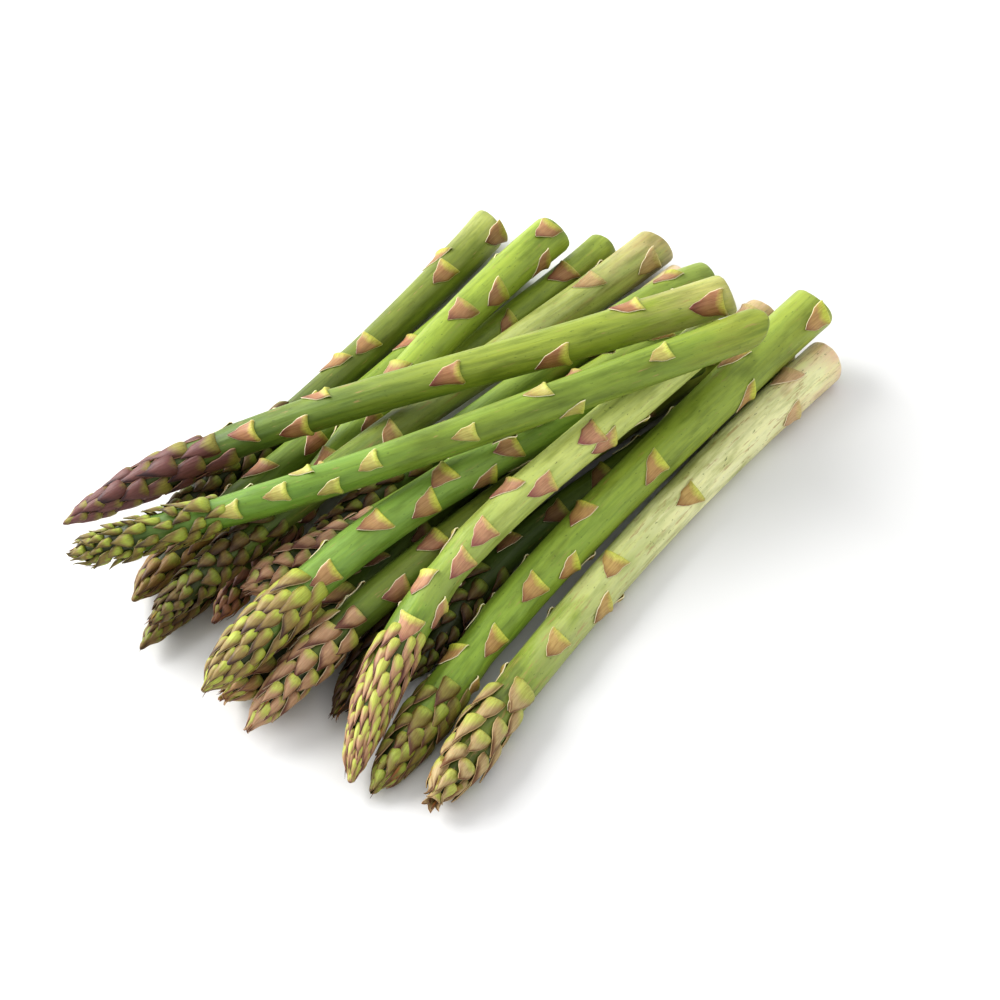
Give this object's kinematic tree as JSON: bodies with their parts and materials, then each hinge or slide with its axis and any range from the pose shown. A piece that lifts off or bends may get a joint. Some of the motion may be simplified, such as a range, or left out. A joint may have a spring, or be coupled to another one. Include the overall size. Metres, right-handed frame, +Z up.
{
  "type": "asparagus bundle",
  "caption": "Bundle of green asparagus spears lying loosely piled, pointed scaly heads to one side and cut butts to the other.",
  "frame": {"origin": "on the table, under the middle of the whole pile", "axes": "+Z up; the tips point to -X and -Y, the cut butts to +X and +Y"},
  "size_m": [0.2308, 0.2368, 0.0532],
  "materials": {
    "spear_a": "moist green plant skin, purple head",
    "spear_b": "moist fresh green plant skin",
    "spear_c": "moist light green plant skin",
    "spear_d": "moist beige green plant skin",
    "spear_e": "moist olive green plant skin",
    "spear_f": "moist light green plant skin",
    "spear_g": "moist green plant skin",
    "spear_h": "moist green plant skin with pink scales",
    "spear_i": "moist green plant skin",
    "spear_j": "moist deep green plant skin, dark head",
    "spear_k": "moist light green plant skin with pink scales",
    "spear_l": "moist green plant skin",
    "spear_m": "moist light green plant skin",
    "spear_n": "moist pale yellow green plant skin, whitish butt",
    "spear_o": "moist green plant skin with pink scales",
    "spear_p": "moist deep green plant skin",
    "spear_q": "moist green plant skin"
  },
  "bodies": {
    "root": {"spear_a": "spear_a", "spear_b": "spear_b", "spear_c": "spear_c", "spear_d": "spear_d", "spear_e": "spear_e", "spear_f": "spear_f", "spear_g": "spear_g", "spear_h": "spear_h", "spear_i": "spear_i", "spear_j": "spear_j", "spear_k": "spear_k", "spear_l": "spear_l", "spear_m": "spear_m", "spear_n": "spear_n", "spear_o": "spear_o", "spear_p": "spear_p", "spear_q": "spear_q"}
  },
  "joints": []
}
